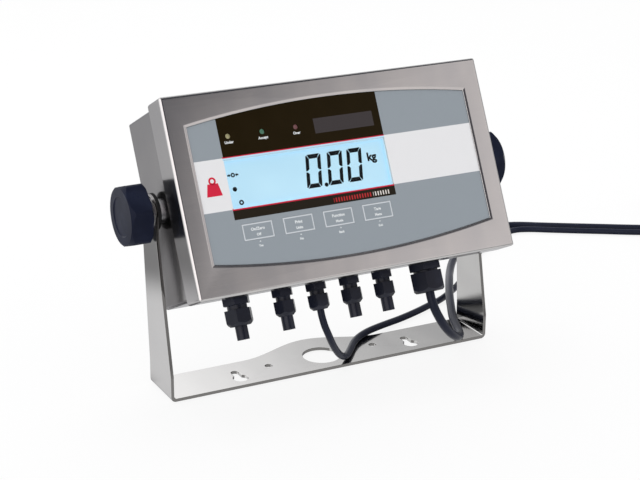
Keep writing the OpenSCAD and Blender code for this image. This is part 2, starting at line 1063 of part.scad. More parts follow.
module earth_stud() {
    color("goldenrod")
        in_case()
            translate([earth_x, 0, earth_z]) {
                along_y(panel_back_y - earth_len, earth_len)
                    circle(earth_r);
                along_y(panel_back_y - earth_nut_t, earth_nut_t)
                    hexagon(earth_nut_af);
            }
}

// Sides and knobs

module both_sides() {
    for (side = [0, 1])
        mirror([side, 0, 0])
            children();
}

module left_side() {
    mirror([1, 0, 0])
        children();
}

module pivot_boss() {
    difference() {
        along_x(boss_in_x, friction_x - boss_in_x)
            circle(boss_dia / 2);
        along_x(boss_in_x + boss_floor, friction_x)
            circle(stud_dia / 2 + run_play);
    }
}

module pivot_bosses() {
    color("silver")
        in_case()
            both_sides()
                pivot_boss();
}

module friction_washers() {
    color("black")
        in_case()
            both_sides()
                along_x(friction_x, friction_t)
                    ring(friction_dia / 2, stud_dia / 2 + loose_play);
}

module flat_washer() {
    color("gainsboro")
        in_case()
            along_x(washer_x, washer_t)
                ring(washer_dia / 2, stud_dia / 2 + loose_play);
}

module washer_right() {
    flat_washer();
}

module washer_left() {
    left_side()
        flat_washer();
}

// Profile of a knob turned about its axis: radius across, distance outward up
module knob_profile() {
    r = knob_dia / 2;
    polygon([
        [0, 0], [r - knob_chamfer / 2, 0], [r, knob_chamfer / 2], [r, knob_grip_t - knob_chamfer],
        [r - knob_chamfer, knob_grip_t], [r * knob_dish_share, knob_grip_t],
        [r * knob_dish_share - knob_dish, knob_grip_t - knob_dish], [0, knob_grip_t - knob_dish]
    ]);
}

module clamp_knob() {
    color("darkslateblue")
        in_case()
            rotate([tilt_back, 0, 0])
                difference() {
                    union() {
                        intersection() {
                            translate([grip_x, 0, 0])
                                rotate([0, 90, 0])
                                    rotate_extrude()
                                        knob_profile();
                            along_x(grip_x, knob_grip_t)
                                rotate(knob_turn)
                                    circle(r = knob_flat_share * knob_dia / 2, $fn = 6);
                        }
                        along_x(collar_x, collar_t)
                            circle(collar_dia / 2);
                    }
                    along_x(collar_x - over, stud_seat + over)
                        circle(stud_dia / 2 + run_play);
                }
}

module knob_right() {
    clamp_knob();
}

module knob_left() {
    left_side()
        clamp_knob();
}

module stud() {
    color("silver")
        in_case()
            along_x(stud_in_x, collar_x + stud_seat - stud_in_x)
                circle(stud_dia / 2);
}

module stud_right() {
    stud();
}

module stud_left() {
    left_side()
        stud();
}

// Glands, in their own frame: +Z runs out of the case, 0 is the case's outer face

module gland_washers() {
    color("black")
        in_case()
            for (g = glands)
                at_gland(g)
                    along_z(0, gland_seal_t)
                        ring(flats(g) / 2, thread_r(g) + gland_hole_play);
}

module gland_body(g) {
    difference() {
        union() {
            along_z(-gland_tail, gland_tail + gland_seal_t)
                circle(thread_r(g));
            along_z(gland_seal_t, gland_hex_t)
                hexagon(flats(g));
            along_z(body_end(), neck_end(g) - body_end())
                circle(neck_r(g));
        }
        along_z(-gland_tail - over, seal_start(g) + gland_tail + 2 * over)
            circle(seal_hole_r(g) + loose_play);
        along_z(seal_start(g), seal_len + over)
            circle(neck_r(g) - gland_wall);
    }
}

module gland_bodies() {
    color("black")
        in_case()
            for (g = glands)
                at_gland(g)
                    gland_body(g);
}

module gland_seals() {
    color("dimgray")
        in_case()
            for (g = glands)
                at_gland(g)
                    along_z(seal_start(g), seal_len)
                        ring(neck_r(g) - gland_wall - run_play, seal_hole_r(g));
}

module gland_locknuts() {
    color("black")
        in_case()
            for (g = glands)
                at_gland(g)
                    along_z(-sheet_t - gland_nut_t, gland_nut_t)
                        difference() {
                            hexagon(flats(g));
                            circle(thread_r(g) + gland_nut_play);
                        }
}

// Cap nut: six flats, turned down in a chamfer to its mouth
module gland_cap(g) {
    r = flats(g) / sqrt(3);
    length = cap_end(g) - cap_start(g);
    translate([0, 0, cap_start(g)])
        difference() {
            intersection() {
                along_z(0, length)
                    hexagon(flats(g));
                rotate_extrude()
                    polygon([
                        [0, 0], [r, 0], [r, length - cap_chamfer],
                        [r - cap_chamfer, length], [0, length]
                    ]);
            }
            along_z(-over, length - cap_roof + over)
                circle(neck_r(g) + cap_play);
            along_z(length - cap_roof - over, cap_roof + 2 * over)
                circle(mouth_r(g));
        }
}

module gland_caps() {
    color("black")
        in_case()
            for (g = glands)
                at_gland(g)
                    gland_cap(g);
}

module blanking_plugs() {
    color("black")
        in_case()
            for (g = glands)
                if (g[2] == 0)
                    at_gland(g) {
                        along_z(neck_end(g), cap_end(g) + plug_out - neck_end(g))
                            circle(plug_rod_dia / 2);
                        along_z(neck_end(g) - plug_seat, plug_seat)
                            circle(plug_shank_r);
                    }
}

// Cords

function unit(v) = v / norm(v);
function heading(p, i) = unit(p[min(i + 1, len(p) - 1)] - p[max(i - 1, 0)]);

// Ring of points round a centre, square to a direction. No direction runs along pole.
function ring_at(centre, along, r, sides, pole) =
    let (side = unit(cross(along, pole)), up = cross(side, along))
        [for (k = [0:sides - 1]) centre + r * (cos(360 * k / sides) * side + sin(360 * k / sides) * up)];

// Closed tube swept along a list of points
module tube(p, r, sides, pole = [0, 0, 1]) {
    rings = len(p);
    points = [for (i = [0:rings - 1]) each ring_at(p[i], heading(p, i), r, sides, pole)];
    walls = [
        for (i = [0:rings - 2], k = [0:sides - 1])
            let (a = i * sides + k, b = i * sides + (k + 1) % sides)
                each [[a, b, a + sides], [b, b + sides, a + sides]]
    ];
    caps = [
        for (k = [1:sides - 2])
            each [[0, k + 1, k], [(rings - 1) * sides, (rings - 1) * sides + k, (rings - 1) * sides + k + 1]]
    ];
    polyhedron(points, concat(walls, caps));
}

// Smooth curve through the points of a route
function between(p, i, t) =
    let (
        a = p[max(i - 1, 0)],
        b = p[i],
        c = p[i + 1],
        d = p[min(i + 2, len(p) - 1)]
    )
        0.5 * (2 * b + t * (c - a) + t * t * (2 * a - 5 * b + 4 * c - d)
            + t * t * t * (3 * b - a - 3 * c + d));
function smooth(p) = concat(
    [for (i = [0:len(p) - 2], k = [0:route_steps - 1]) between(p, i, k / route_steps)],
    [p[len(p) - 1]]
);

// Whole centreline of a cord's free stretch, from inside its gland to its coil
function free_stretch(g, route, coil) = let (way = unit(coil[1] - coil[0])) concat(
    [gland_point(g, seal_start(g) + exit_run), gland_point(g, cap_end(g) - exit_run)],
    smooth(concat([gland_point(g, cap_end(g) + exit_run)], [for (p = route) [p[0] * spread, p[1], p[2]]])),
    [coil[0] - exit_run * way, coil[0]]
);

// Coil: in on the lower layer, up a layer where the spiral turns back, out on the upper one.
// side is 1 where the cord turns left into it and -1 where it turns right.
function spiral(at, r, dia, turns, side, t) =
    let (
        pitch = dia + turn_gap,
        inward = min(t, turns - t),
        angle = coil_heading - side * 90 + side * 360 * t,
        climb = min(max((t - turns / 2) / climb_turns + 1 / 2, 0), 1)
    )
        [
            at[0] + (r - pitch * inward) * cos(angle),
            at[1] + (r - pitch * inward) * sin(angle),
            coil_base + dia / 2 + pitch * climb
        ];
function coil_line(at, r, dia, turns, side) =
    let (
        steps = floor(turns * coil_rings),
        turn = [for (i = [0:steps]) spiral(at, r, dia, turns, side, turns * i / steps)],
        last = coil_heading + side * 360 * turns,
        first_way = [cos(coil_heading), sin(coil_heading), 0],
        last_way = [cos(last), sin(last), 0]
    )
        concat([turn[0] - dia * first_way], turn, [turn[steps] + dia * last_way]);
sensor_coil_line = coil_line(sensor_coil_at, sensor_coil_r, sensor_dia, sensor_turns, -1);
power_coil_line = coil_line(power_coil_at, power_coil_r, power_dia, power_turns, 1);

// Least gap between two turns of a coil, and the length of a line
function own_gap(p, dia) = min([
    for (i = [0:len(p) - 1], j = [0:len(p) - 1])
        if (j - i > coil_rings / 2)
            norm(p[i] - p[j])
]) - dia;
function line_length(p, i = 0) = i > len(p) - 2 ? 0 : norm(p[i + 1] - p[i]) + line_length(p, i + 1);
sensor_free_line = free_stretch(glands[sensor_gland], sensor_route, sensor_coil_line);
power_free_line = free_stretch(glands[power_gland], power_route, power_coil_line);
echo(sensor_coil_gap = own_gap(sensor_coil_line, sensor_dia));
echo(power_coil_gap = own_gap(power_coil_line, power_dia));
echo(sensor_free = line_length(sensor_free_line), sensor_coiled = line_length(sensor_coil_line));
echo(power_free = line_length(power_free_line), power_coiled = line_length(power_coil_line));
echo(free_rings = len(sensor_free_line) + len(power_free_line));

module sensor_cable() {
    color("black")
        tube(sensor_free_line, sensor_dia / 2, tube_sides);
}

module power_cord() {
    color("black")
        tube(power_free_line, power_dia / 2, tube_sides);
}

module sensor_coil() {
    color("black")
        tube(sensor_coil_line, sensor_dia / 2, coil_sides);
}

module power_coil() {
    color("black")
        tube(power_coil_line, power_dia / 2, coil_sides);
}

// Band round both layers of a coil, on its far side from the cord's entry
module coil_tie(at, r, dia, turns, side) {
    pitch = dia + turn_gap;
    inner = r - pitch * turns / 2 - dia / 2 - tie_play;
    outer = r + dia / 2 + tie_play;
    tall = coil_base + 2 * dia + turn_gap + tie_play;
    translate([at[0], at[1], 0])
        rotate(coil_heading + side * 90)
            difference() {
                translate([inner - tie_t, -tie_w / 2, 0])
                    cube([outer - inner + 2 * tie_t, tie_w, tall + tie_t]);
                translate([inner, -tie_w / 2 - over, tie_t])
                    cube([outer - inner, tie_w + 2 * over, tall - tie_t]);
            }
}

module sensor_tie() {
    color("darkgray")
        coil_tie(sensor_coil_at, sensor_coil_r, sensor_dia, sensor_turns, -1);
}

module power_tie() {
    color("darkgray")
        coil_tie(power_coil_at, power_coil_r, power_dia, power_turns, 1);
}

// Places children at the end of a coil, with +X running on along the cord
module at_coil_end(p, turns, side) {
    translate(p[len(p) - 1])
        rotate(coil_heading + side * 360 * turns)
            children();
}

// Tapered strain relief that starts at the cord's end
module relief(dia, length, r) {
    rotate([0, 90, 0])
        cylinder(length, r1 = dia / 2 + relief_grow, r2 = r);
}

module sensor_connector() {
    body_x = connector_relief;
    end_x = body_x + connector_len;
    color("gainsboro")
        at_coil_end(sensor_coil_line, sensor_turns, -1)
            difference() {
                union() {
                    relief(sensor_dia, connector_relief, connector_relief_r);
                    along_x(body_x, connector_len)
                        circle(connector_r - connector_ring_cut);
                    along_x(end_x - connector_ring_t, connector_ring_t)
                        circle(connector_r);
                }
                along_x(end_x - connector_socket_d, connector_socket_d + over)
                    circle(connector_socket_r);
            }
}

module power_plug() {
    color("black")
        at_coil_end(power_coil_line, power_turns, 1) {
            relief(power_dia, plug_relief, plug_relief_r);
            along_x(plug_relief, plug_len)
                round_rect(plug_w, plug_h, plug_corner);
        }
}

module plug_pins() {
    face_x = plug_relief + plug_len;
    color("goldenrod")
        at_coil_end(power_coil_line, power_turns, 1) {
            for (y = [-1, 1])
                along_x(face_x, blade_len)
                    translate([y * blade_gap / 2, blade_up])
                        square([blade_t, blade_w], center = true);
            along_x(face_x, ground_pin_len)
                translate([0, -ground_pin_down])
                    circle(ground_pin_r);
        }
}

// Stripped leads inside the case, from the gland bodies up towards the terminal blocks
module inner_lead(g, block) {
    foot = seal_start(g);
    start = [g[0], gland_y, tray_bottom - foot];
    bend = [g[0], gland_y, tray_bottom + gland_tail + lead_rise / 2];
    end = [block_x(block), boards_y - block_d / 2, block_z() - block_h / 2 - lead_gap];
    tube([start, bend, (bend + end) / 2, end - [0, 0, lead_r], end], lead_r, tube_sides, [0, 1, 0]);
}

module inner_leads() {
    color("gray")
        in_case() {
            inner_lead(glands[sensor_gland], 2);
            inner_lead(glands[power_gland], block_count - 1);
        }
}

bracket();
front_cover();
back_case();
cover_gasket();
overlay();
display_window();
status_window();
keypad_layer();
key_domes();
key_1();
key_2();
key_3();
key_4();
lcd_glass();
lcd_bezel();
backlight();
status_lamps();
display_board();
display_posts();
display_screws();
main_board();
board_posts();
board_screws();
board_chips();
terminal_blocks();
supply_board();
transformer();
supply_capacitors();
ribbon_cable();
earth_stud();
cover_posts();
cover_screws();
seal_washers();
calibration_screw();
pivot_bosses();
friction_washers();
washer_left();
washer_right();
knob_left();
knob_right();
stud_left();
stud_right();
gland_washers();
gland_bodies();
gland_caps();
gland_seals();
gland_locknuts();
blanking_plugs();
inner_leads();
sensor_cable();
sensor_coil();
sensor_tie();
sensor_connector();
power_cord();
power_coil();
power_tie();
power_plug();
plug_pins();
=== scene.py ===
import math

import bmesh
import bpy
from mathutils import Matrix, Vector


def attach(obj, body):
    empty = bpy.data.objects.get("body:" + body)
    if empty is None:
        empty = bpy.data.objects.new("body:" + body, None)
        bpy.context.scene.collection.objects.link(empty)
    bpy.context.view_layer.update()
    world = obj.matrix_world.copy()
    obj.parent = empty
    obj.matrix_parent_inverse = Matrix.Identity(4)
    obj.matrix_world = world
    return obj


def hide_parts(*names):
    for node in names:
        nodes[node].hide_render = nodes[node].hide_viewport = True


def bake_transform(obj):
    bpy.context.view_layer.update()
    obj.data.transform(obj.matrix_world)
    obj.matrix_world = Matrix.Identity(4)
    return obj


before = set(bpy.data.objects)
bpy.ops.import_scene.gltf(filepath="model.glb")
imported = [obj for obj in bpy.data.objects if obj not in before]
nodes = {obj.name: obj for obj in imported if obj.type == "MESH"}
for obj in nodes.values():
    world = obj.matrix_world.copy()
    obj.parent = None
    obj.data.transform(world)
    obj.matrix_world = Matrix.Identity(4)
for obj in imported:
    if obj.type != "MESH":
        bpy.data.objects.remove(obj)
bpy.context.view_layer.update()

# Millimetres, and the case's own frame: it leans back round the line through its side bosses
MM = 0.001
TILT = math.radians(27)
PIVOT = Vector((0, 15, 138.5))
CASE = Matrix.Translation(PIVOT * MM) @ Matrix.Rotation(-TILT, 4, "X")


def in_case(x, y, z):
    """A point of the case, from its pivot, as a point in the room, both in millimetres"""
    return Vector((
        PIVOT.x + x,
        PIVOT.y + y * math.cos(TILT) + z * math.sin(TILT),
        PIVOT.z - y * math.sin(TILT) + z * math.cos(TILT),
    ))


# Camera

def set_camera():
    """The photograph's view, fitted to the edges of the case and the bracket"""
    turn, rise, roll = (math.radians(angle) for angle in (-27.4792, 20.0452, 0.3804))
    aim = Vector((-1.4146, 3.7966, 98.8262))
    distance = 1342.5556
    focal_pixels, picture_width = 1746.9022, 640
    back = Vector((math.sin(turn) * math.cos(rise), -math.cos(turn) * math.cos(rise), math.sin(rise)))
    level = Vector((math.cos(turn), math.sin(turn), 0))
    upright = back.cross(level)
    right = level * math.cos(roll) + upright * math.sin(roll)
    up = upright * math.cos(roll) - level * math.sin(roll)
    eye = (aim + distance * back) * MM
    data = bpy.data.cameras.new("camera")
    data.sensor_width = 36
    data.lens = focal_pixels * data.sensor_width / picture_width
    data.clip_start = 0.05
    data.clip_end = 30
    camera = bpy.data.objects.new("camera", data)
    camera.matrix_world = Matrix((
        (right.x, up.x, back.x, eye.x),
        (right.y, up.y, back.y, eye.y),
        (right.z, up.z, back.z, eye.z),
        (0, 0, 0, 1),
    ))
    bpy.context.scene.collection.objects.link(camera)
    bpy.context.scene.camera = camera


set_camera()


# Finishes: node trees written as expressions

class Wire:
    """One output of a node. Arithmetic on it adds Math nodes."""

    def __init__(self, owner, socket):
        self.owner = owner
        self.socket = socket

    def also(self, out):
        """Another output of the same node"""
        return Wire(self.owner, self.socket.node.outputs[out])

    def math(self, operation, *others):
        values = dict(enumerate((self, *others)))
        return self.owner.add("ShaderNodeMath", {"operation": operation}, values)

    def __add__(self, other):
        return self.math("ADD", other)

    def __sub__(self, other):
        return self.math("SUBTRACT", other)

    def __rsub__(self, other):
        return self.owner.add("ShaderNodeMath", {"operation": "SUBTRACT"}, {0: other, 1: self})

    def __mul__(self, other):
        return self.math("MULTIPLY", other)

    def __abs__(self):
        return self.math("ABSOLUTE")

    def __gt__(self, other):
        return self.math("GREATER_THAN", other)

    def __lt__(self, other):
        return self.math("LESS_THAN", other)

    __radd__ = __add__
    __rmul__ = __mul__

    def within(self, low, high):
        """1 between two values, 0 outside them"""
        return (self > low) * (self < high)

    def ramp(self, low, high, start=0, end=1):
        """Eases from start at low to end at high"""
        values = dict(enumerate((self, low, high, start, end)))
        return self.owner.add("ShaderNodeMapRange", {"interpolation_type": "SMOOTHSTEP"}, values)


class NodeTree:
    """What finishes and the room's light have in common"""

    def __init__(self, tree):
        self.tree = tree

    def add(self, kind, settings, values, out=0):
        """Any node: its settings first, then the values or links of its sockets; gives one output"""
        node = self.tree.nodes.new(kind)
        for key, value in settings.items():
            setattr(node, key, value)
        for key, value in values.items():
            self.feed(node.inputs[key], value)
        return Wire(self, node.outputs[out])

    def feed(self, socket, value):
        """Links a wire to a socket, or sets the socket's own number or colour"""
        if isinstance(value, Wire):
            self.tree.links.new(value.socket, socket)
        elif isinstance(value, tuple) and socket.type == "RGBA":
            socket.default_value = (*value[:3], 1)
        else:
            socket.default_value = value

    def split(self, vector):
        """The three numbers of a vector"""
        x = self.add("ShaderNodeSeparateXYZ", {}, {0: vector})
        return x, x.also(1), x.also(2)

    def blend(self, amount, first, second):
        """Mixes two colours"""
        return self.add("ShaderNodeMix", {"data_type": "RGBA"}, {0: amount, 6: first, 7: second}, out=2)

    def noise(self, x, y, z, detail=2, roughness=0.5):
        place = self.add("ShaderNodeCombineXYZ", {}, {0: x, 1: y, 2: z})
        values = {"Vector": place, "Scale": 1, "Detail": detail, "Roughness": roughness}
        return self.add("ShaderNodeTexNoise", {}, values)

    def grain(self, place, scale, detail=2, roughness=0.5):
        """Noise of the same scale in all directions"""
        return self.noise(*(axis * scale for axis in place), detail, roughness)


class Finish(NodeTree):
    """A material of the object, or the floor's"""

    def __init__(self, name, **fixed):
        self.material = bpy.data.materials.new(name)
        self.material.use_nodes = True
        super().__init__(self.material.node_tree)
        self.shader = self.tree.nodes["Principled BSDF"]
        self.set(**fixed)

    def set(self, **sockets):
        for name, value in sockets.items():
            self.feed(self.shader.inputs[name.replace("_", " ")], value)
        return self

    def room(self):
        """x, y and z in the room, in millimetres"""
        place = self.add("ShaderNodeTexCoord", {}, {}, out="Object")
        return [axis * 1000 for axis in self.split(place)]

    def case(self):
        """x, y and z from the case's pivot, along the case, in millimetres"""
        x, y, z = self.room()
        y, z = y - PIVOT.y, z - PIVOT.z
        return x, y * math.cos(TILT) - z * math.sin(TILT), y * math.sin(TILT) + z * math.cos(TILT)

    def bump(self, height, distance, strength):
        values = {"Height": height, "Distance": distance, "Strength": strength}
        return self.set(Normal=self.add("ShaderNodeBump", {}, values))


def far_out(x, y):
    """How far a place lies from where two axes cross"""
    return (x * x + y * y).math("SQRT")


def rgb(red, green, blue):
    """A colour as it looks on screen, 0 to 255, as the shader's own numbers"""
    shares = (channel / 255 for channel in (red, green, blue))
    return tuple(share / 12.92 if share <= 0.0404 else ((share + 0.055) / 1.055) ** 2.4 for share in shares)


# Places on the case, in millimetres from its pivot, as part.scad has them

PANEL_HALF = 115.5
ARCH_R = 721.9
ARCH_DROP = 662.4
FLOOR_Y = -49.5
LABEL_Y = -50.9
GLASS_Y = -47.4
WINDOW_X = (-92.2, 39.8)
WINDOW_Z = (-13, 23)
KEY_PITCH = 32.8
KEY_X = [-76.6 + KEY_PITCH * index for index in range(4)]
KEY_Z = -31
KEY_W, KEY_H = 24, 12
LAMP_X = [-85.2 + 27.3 * index for index in range(3)]
LAMP_Z = 40
GLAND_Y = -2.5
UNDERSIDE_Z = -71.5


# Colours of the printed face

GREY, PALE_GREY = rgb(144, 152, 159), rgb(150, 158, 165)
WHITE, RED, DARK = rgb(232, 232, 234), rgb(208, 18, 56), rgb(28, 20, 3)
PALE_BLUE, LIGHT = rgb(190, 228, 248), rgb(222, 226, 228)
BLACK = (0, 0, 0)


# Pieces

def finished_mesh(name, mesh):
    """Shades a mesh smooth, up to creases of 35 degrees"""
    mesh.normal_update()
    for face in mesh.faces:
        face.smooth = True
    for edge in mesh.edges:
        edge.smooth = len(edge.link_faces) == 2 and edge.calc_face_angle() < math.radians(35)
    data = bpy.data.meshes.new(name)
    mesh.to_mesh(data)
    mesh.free()
    return data


def piece(name, data, finish):
    """Puts a mesh in the scene with its finish"""
    made = bpy.data.objects.new(name, data)
    bpy.context.scene.collection.objects.link(made)
    data.materials.clear()
    data.materials.append(finish.material)
    return made


def on_case(name, data, finish, body):
    """A piece drawn in the case's own frame, which rides on a body"""
    data.transform(CASE)
    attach(piece(name, data, finish), body)


# Cords, along the routes of part.scad

COIL_HEADING = -30
COIL_BASE = 1.1
TURN_GAP = 0.5
CLIMB_TURNS = 0.5
EXIT_RUN = 5
SENSOR_ROUTE = [
    (-17, -34.8, 45), (-14, -35, 37.5), (-9.8, -32.4, 29.5), (-4, -27.8, 20.5), (3.2, -22.2, 12),
    (10.4, -16.4, 7), (17, -9.8, 5.6), (24, -1.5, 5.5), (31.2, 7.2, 5.5), (39.5, 14.8, 5.5),
    (50, 21, 5.6), (61.6, 26.6, 5), (74.5, 32.2, 4), (92, 39, 2.9), (110, 45.5, 2.9),
    (127, 52.8, 2.9), (146.5, 62, 2.9), (172, 80.4, 2.9), (193, 101, 2.9), (212, 122, 2.9),
    (234, 143, 2.9), (257, 161, 2.9), (278, 173.5, 2.9), (296, 179.5, 2.9), (311, 175.5, 2.9),
    (329, 164.5, 2.9), (350, 151.8, 2.9), (371, 139.4, 2.9), (395, 125, 2.9), (418, 111.8, 3.3),
    (438, 100.5, 3.8),
]
POWER_ROUTE = [
    (78.8, -36.4, 42.5), (82.4, -37.8, 34.5), (88, -36.9, 26), (95.2, -34.4, 18), (102.8, -30.2, 11.8),
    (109.6, -24.4, 8), (114.8, -17.4, 6.6), (118.6, -9.2, 6.4), (122.8, 2, 6.7), (128, 15, 7.4),
    (135.6, 30, 8.8), (144.6, 47, 10), (156, 66.5, 10.2), (167, 84.5, 8.6), (181, 106.5, 5),
    (197, 129, 3.6), (216, 151, 3.6), (238, 171, 3.6), (262, 186, 3.6), (284, 193, 3.6),
    (304, 189, 3.6), (325, 176.6, 3.6), (347, 163.4, 3.6), (370, 150, 3.6), (395, 135.2, 3.6),
    (420, 120.6, 3.8), (442, 107.8, 4.2),
]


def smooth(points, steps):
    """The smooth curve of a route, with a few points in each of its stretches"""
    line = []
    for i in range(len(points) - 1):
        a, b = points[max(i - 1, 0)], points[i]
        c, d = points[i + 1], points[min(i + 2, len(points) - 1)]
        for k in range(steps):
            t = k / steps
            line.append(0.5 * (
                2 * b + t * (c - a) + t * t * (2 * a - 5 * b + 4 * c - d)
                + t * t * t * (3 * b - a - 3 * c + d)
            ))
    return line + [points[-1]]


def wound_line(middle, radius, thick, turns, side, per_turn=36):
    """Coil of two layers: in on the lower one and back out on the upper one"""
    pitch = thick + TURN_GAP
    line = []
    steps = int(turns * per_turn)
    for i in range(steps + 1):
        t = turns * i / steps
        inward = min(t, turns - t)
        angle = math.radians(COIL_HEADING - side * 90 + side * 360 * t)
        climb = min(max((t - turns / 2) / CLIMB_TURNS + 0.5, 0), 1)
        reach = radius - pitch * inward
        line.append(Vector((
            middle[0] + reach * math.cos(angle),
            middle[1] + reach * math.sin(angle),
            COIL_BASE + thick / 2 + pitch * climb,
        )))
    first, last = math.radians(COIL_HEADING), math.radians(COIL_HEADING + side * 360 * turns)
    start = line[0] - thick * Vector((math.cos(first), math.sin(first), 0))
    end = line[-1] + thick * Vector((math.cos(last), math.sin(last), 0))
    return [start] + line + [end]


def cord_line(gland_x, cap_end, route, coil):
    """The centreline of a cord, straight out of its gland, along its route and round its coil"""
    inside = in_case(gland_x, GLAND_Y, UNDERSIDE_Z - cap_end + EXIT_RUN)
    below = in_case(gland_x, GLAND_Y, UNDERSIDE_Z - cap_end - EXIT_RUN)
    way = (coil[1] - coil[0]).normalized()
    free = [below] + [Vector(point) for point in route] + [coil[0] - EXIT_RUN * way]
    return [inside] + smooth(free, 4) + coil


def tube_mesh(name, line, radius, sides=20):
    """Round tube along a line, with its rings carried on without a twist"""
    mesh = bmesh.new()
    last = len(line) - 1
    ahead = [(line[min(i + 1, last)] - line[max(i - 1, 0)]).normalized() for i in range(last + 1)]
    side = ahead[0].orthogonal().normalized()
    angles = [2 * math.pi * k / sides for k in range(sides)]
    rings = []
    for i, middle in enumerate(line):
        if i:
            side = ahead[i - 1].rotation_difference(ahead[i]) @ side
            side = (side - ahead[i] * side.dot(ahead[i])).normalized()
        other = ahead[i].cross(side)
        ring = [middle + radius * (math.cos(angle) * side + math.sin(angle) * other) for angle in angles]
        rings.append([mesh.verts.new(point * MM) for point in ring])
    for first, second in zip(rings, rings[1:]):
        for k in range(sides):
            mesh.faces.new((first[k], first[(k + 1) % sides], second[(k + 1) % sides], second[k]))
    mesh.faces.new(rings[0][::-1])
    mesh.faces.new(rings[-1])
    return finished_mesh(name, mesh)


def jacket_finish():
    """Matt PVC jacket with a soft sheen"""
    made = Finish("cord jacket", IOR=1.48, Specular_IOR_Level=0.13)
    room = made.room()
    grain = made.grain(room, 1.6, detail=3)
    patch = made.grain(room, 0.03, detail=1)
    made.set(
        Base_Color=made.blend(grain * 0.6 + patch * 0.4, rgb(26, 29, 42), rgb(38, 42, 58)),
        Roughness=grain.ramp(0.3, 0.7, 0.26, 0.36),
    )
    return made.bump(grain, 0.00004, 0.2)


cord_finish = jacket_finish()


def lay_cord(name, line, thick, replaced):
    """A cord as a round tube along its line, in place of the CAD nodes it replaces"""
    cord = piece(name, tube_mesh(name, line, thick / 2), cord_finish)
    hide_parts(*replaced)
    tuple(line[1] * MM)
    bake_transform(cord)
    length = sum((b - a).length for a, b in zip(line, line[1:]))
    tuple(line[0] * MM)
    [tuple(point * MM) for point in line]


sensor_coil = wound_line(middle=(430.5, 55.2), radius=43, thick=5.5, turns=7.25, side=-1)
power_coil = wound_line(middle=(493.5, 140.7), radius=47, thick=7, turns=5, side=1)
lay_cord(
    "sensor_lead", cord_line(gland_x=-18, cap_end=21.9, route=SENSOR_ROUTE, coil=sensor_coil),
    thick=5.5, replaced=["sensor_cable", "sensor_coil"],
)
lay_cord(
    "power_lead", cord_line(gland_x=77.5, cap_end=24.2, route=POWER_ROUTE, coil=power_coil),
    thick=7, replaced=["power_cord", "power_coil"],
)


# Metal

def brushed_sheet(made, run, wide, deep, bands, warm, cool, rough):
    """Fine lines along the sheet, broad soft bands across them, which paint the reflection streaks of the
    brushing into the tone along with random variation, and light handling marks.
    Gives the colour and the height of the lines."""
    lines = made.noise(run * 0.03, wide * 3.2, deep * 3.2, detail=3, roughness=0.7)
    hairs = made.noise(run * 0.012, wide * 9, deep * 9)
    # Broad bands across the lines: partly random tone of the sheet, partly painted reflection streaks of
    # the brushing
    broad = made.noise(run * bands, wide * 0.012, 3.1)
    marks = made.grain(made.room(), 0.02, detail=3, roughness=0.6)
    tone = lines * 0.35 + broad * 0.45 + marks * 0.2
    made.set(
        Metallic=1.0, Specular_Tint=(0.5, 0.5, 0.52),
        Roughness=rough + lines * 0.06 + hairs * 0.05 + marks.ramp(0.55, 0.75) * 0.04,
    )
    return made.blend(tone.ramp(0.32, 0.68), cool, warm), lines * 0.6 + hairs * 0.4


def cover_finish():
    """Brushed cover: a soft pressed edge round the panel, and a pale blue painted glow on the ledge of the
    window, as of the lit glass beside it
    """
    made = Finish("case steel", Emission_Strength=0.32)
    x, y, z = made.case()
    colour, brushing = brushed_sheet(
        made, x, z, y, bands=0.05, warm=(0.58, 0.565, 0.555), cool=(0.50, 0.495, 0.50), rough=0.13
    )
    over_side = abs(x) - PANEL_HALF
    over_arch = far_out(x, abs(z) + ARCH_DROP) - ARCH_R
    pressed = over_side.math("MAXIMUM", over_arch).ramp(0.1, 2.3, -1, 0) * (y < -49)
    # Painted light: the ledge of the window's opening is pale blue and glows like the lit glass
    ledge = x.within(WINDOW_X[0] - 0.1, WINDOW_X[1] + 0.1) * z.within(WINDOW_Z[0] - 0.1, WINDOW_Z[1] + 0.1)
    made.set(
        Base_Color=made.blend(ledge, colour, PALE_BLUE),
        Metallic=1 - ledge,
        Emission_Color=made.blend(ledge, BLACK, PALE_BLUE),
    )
    return made.bump(brushing * 0.016 + pressed, 0.00037, 1)


def back_finish():
    """Brushed back case, darker than the cover"""
    made = Finish("shell steel")
    x, y, z = made.case()
    colour, brushing = brushed_sheet(
        made, x, z, y, bands=0.05, warm=(0.46, 0.45, 0.445), cool=(0.36, 0.355, 0.36), rough=0.13
    )
    return made.set(Base_Color=colour).bump(brushing, 0.000012, 0.5)


def bracket_finish():
    """Brushed strip, its lines running up the arms, with painted light that makes it brighter at the left,
    and dark on its cut edges
    """
    made = Finish("bracket steel")
    x, y, z = made.room()
    run = abs(x) + z
    colour, brushing = brushed_sheet(
        made, run, y, run, bands=0.03, warm=(0.58, 0.575, 0.565), cool=(0.50, 0.495, 0.49), rough=0.07
    )
    # Painted light: the colour lightens towards the left, where the steel mirrors more light
    colour = made.blend(x.ramp(-150, 60, 0.55, 0), colour, (0.86, 0.85, 0.84))
    facing = made.split(made.add("ShaderNodeNewGeometry", {}, {}, out="True Normal"))
    cut_edge = abs(facing[1]) > 0.55
    colour = made.blend(cut_edge, colour, (0.2, 0.195, 0.19))
    return made.set(Base_Color=colour).bump(brushing, 0.000012, 0.5)


def turned_finish(name, bright, dull, rough):
    """Plated or turned metal with fine lines and a few dull spots"""
    made = Finish(name, Metallic=1.0)
    room = made.room()
    lines = made.grain(room, 2.2, detail=3)
    spots = made.grain(room, 0.12)
    made.set(
        Base_Color=made.blend(lines * 0.5 + spots * 0.5, dull, bright),
        Roughness=rough + lines * 0.1 + spots.ramp(0.5, 0.7) * 0.08,
    )
    return made.bump(lines, 0.00001, 0.4)


